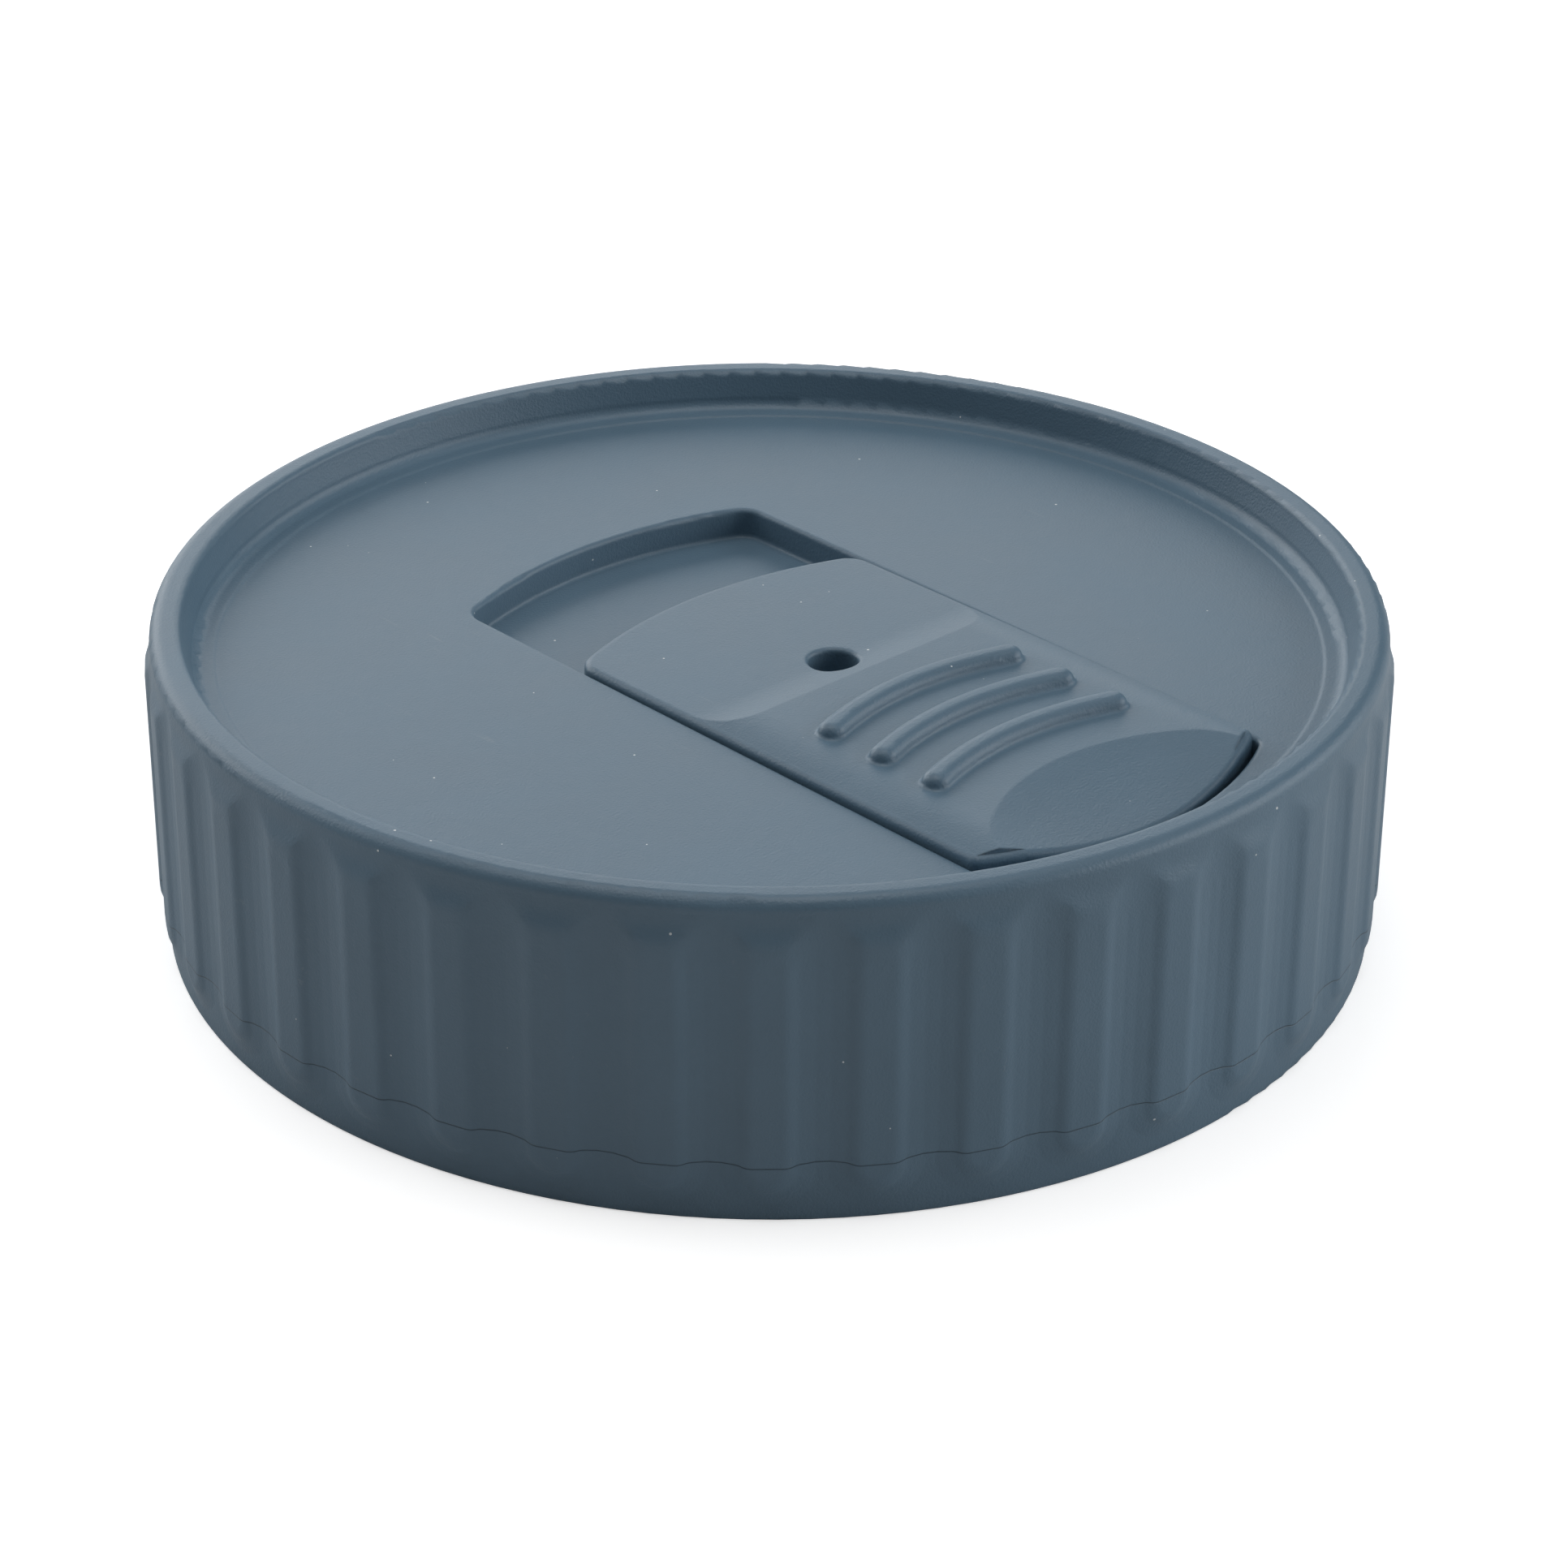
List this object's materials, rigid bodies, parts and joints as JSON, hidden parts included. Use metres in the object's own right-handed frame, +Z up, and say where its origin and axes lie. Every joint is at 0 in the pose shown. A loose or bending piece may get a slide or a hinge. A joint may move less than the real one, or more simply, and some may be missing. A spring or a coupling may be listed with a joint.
{
  "type": "screw lid with sliding drinking closure for a wide-mouth jar",
  "caption": "Round ribbed screw lid whose recessed deck holds a sliding closure over a drinking opening, with a sealing ring inside.",
  "frame": {"origin": "on the lid's axis, level with the lower edge of its skirt", "axes": "+Z up along the lid's axis; the drinking side and the closed end of the slider's path face -Y"},
  "size_m": [0.0927, 0.0927, 0.025],
  "materials": {
    "lid_plastic": "fine matte moulded, blue grey",
    "slider_plastic": "fine matte moulded, blue grey",
    "seal_rubber": "soft translucent grey"
  },
  "bodies": {
    "lid": {"lid_body": "lid_plastic", "sealing_ring": "seal_rubber"},
    "closure": {"slider": "slider_plastic"}
  },
  "joints": [
    {"name": "closure_slide", "type": "slide", "parent": "lid", "child": "closure", "axis": [0, 1, 0], "range_m": [0, 0.012]}
  ]
}
